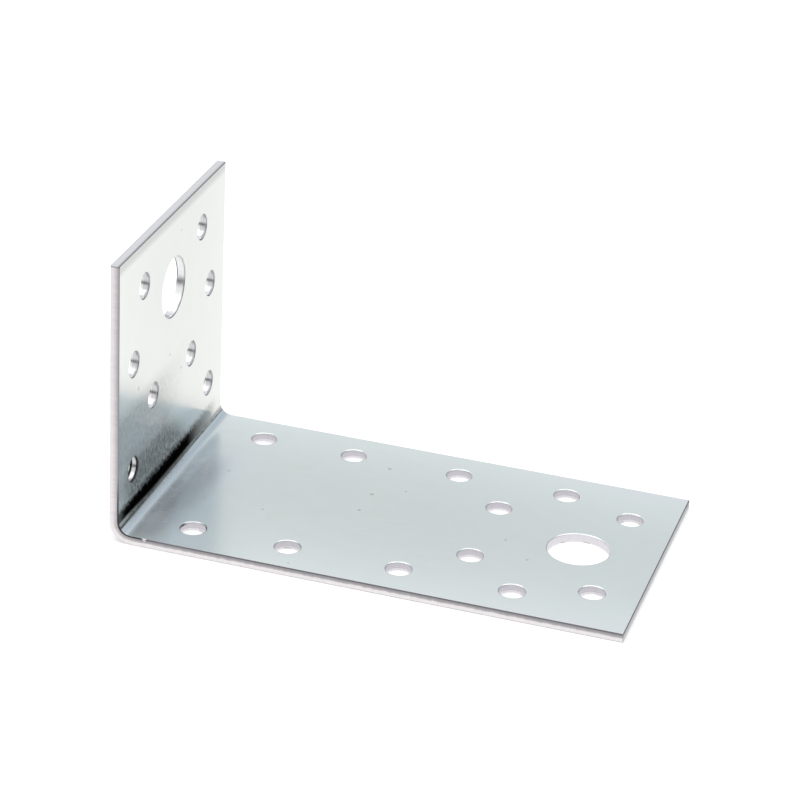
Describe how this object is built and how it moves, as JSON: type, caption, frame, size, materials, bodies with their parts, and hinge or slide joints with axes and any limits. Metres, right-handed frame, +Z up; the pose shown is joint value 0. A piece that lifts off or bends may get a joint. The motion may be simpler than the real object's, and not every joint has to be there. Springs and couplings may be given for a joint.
{
  "type": "angle bracket",
  "caption": "Unequal-leg angle bracket of folded steel sheet, punched with nail and bolt holes along both legs, for joining timbers at a right angle.",
  "frame": {"origin": "bottom centre of the bounding box: the long leg's outer face lies on z = 0 and the heel is at x = -0.05", "axes": "+X along the long leg from heel to tip, +Z up the short leg, +Y across the strip"},
  "size_m": [0.1, 0.055, 0.057],
  "materials": {
    "zinc_plated_steel": "bright zinc plate, light grain along the strip"
  },
  "bodies": {
    "root": {"angle_bracket": "zinc_plated_steel"}
  },
  "joints": []
}
